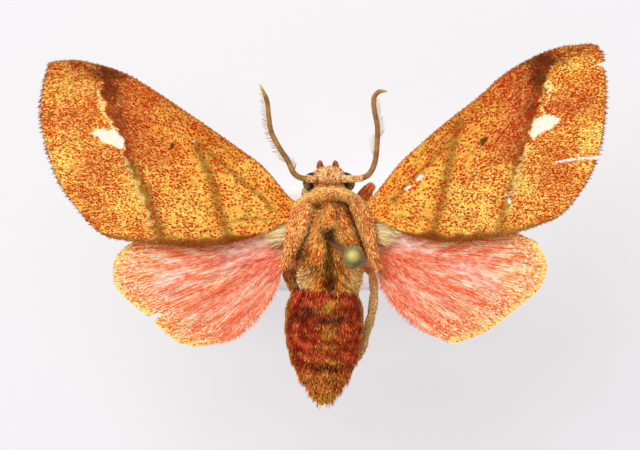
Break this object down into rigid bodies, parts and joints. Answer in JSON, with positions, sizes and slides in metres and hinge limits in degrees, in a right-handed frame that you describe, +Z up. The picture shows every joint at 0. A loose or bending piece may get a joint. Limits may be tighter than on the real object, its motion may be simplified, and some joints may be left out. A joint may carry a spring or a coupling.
{
  "type": "pinned spread tiger moth",
  "caption": "Life-size spread tiger moth with furred body, feathered antennae and veined wings, held by an insect pin over a small flat display base.",
  "frame": {"origin": "middle of the display base's underside, under the middle of the moth's back", "axes": "+Z up, away from the base; +Y towards the moth's head; +X towards the moth's right wing"},
  "size_m": [0.0453, 0.0288, 0.0384],
  "materials": {
    "thorax_coat": "long orange-buff hair with red flecks and dark hollows",
    "head_coat": "short tufted orange hair",
    "abdomen_coat": "brick-red down with yellow tufts and dark bands",
    "forewing": "scaled membrane, yellow-orange with red speckles and brown bands",
    "hindwing": "thin scaled membrane, salmon with red veins and a yellow margin",
    "antenna": "horny tan shaft with fine branches",
    "eye": "dark olive-black, finely faceted",
    "leg": "dull, finely scaled",
    "pin_metal": "polished wire",
    "pin_head": "smooth",
    "base": "painted white, matt"
  },
  "bodies": {
    "root": {"thorax": "thorax_coat", "collar": "thorax_coat", "shoulder_flap_left": "thorax_coat", "shoulder_flap_right": "thorax_coat", "head": "head_coat", "palp_left": "head_coat", "palp_right": "head_coat", "eye_left": "eye", "eye_right": "eye", "antenna_left": "antenna", "antenna_right": "antenna", "abdomen": "abdomen_coat", "forewing_left": "forewing", "forewing_right": "forewing", "hindwing_left": "hindwing", "hindwing_right": "hindwing", "foreleg_left": "leg", "foreleg_right": "leg", "midleg_left": "leg", "midleg_right": "leg", "hindleg_left": "leg", "hindleg_right": "leg", "pin_shaft": "pin_metal", "pin_head": "pin_head", "stand_base": "base"}
  },
  "joints": []
}
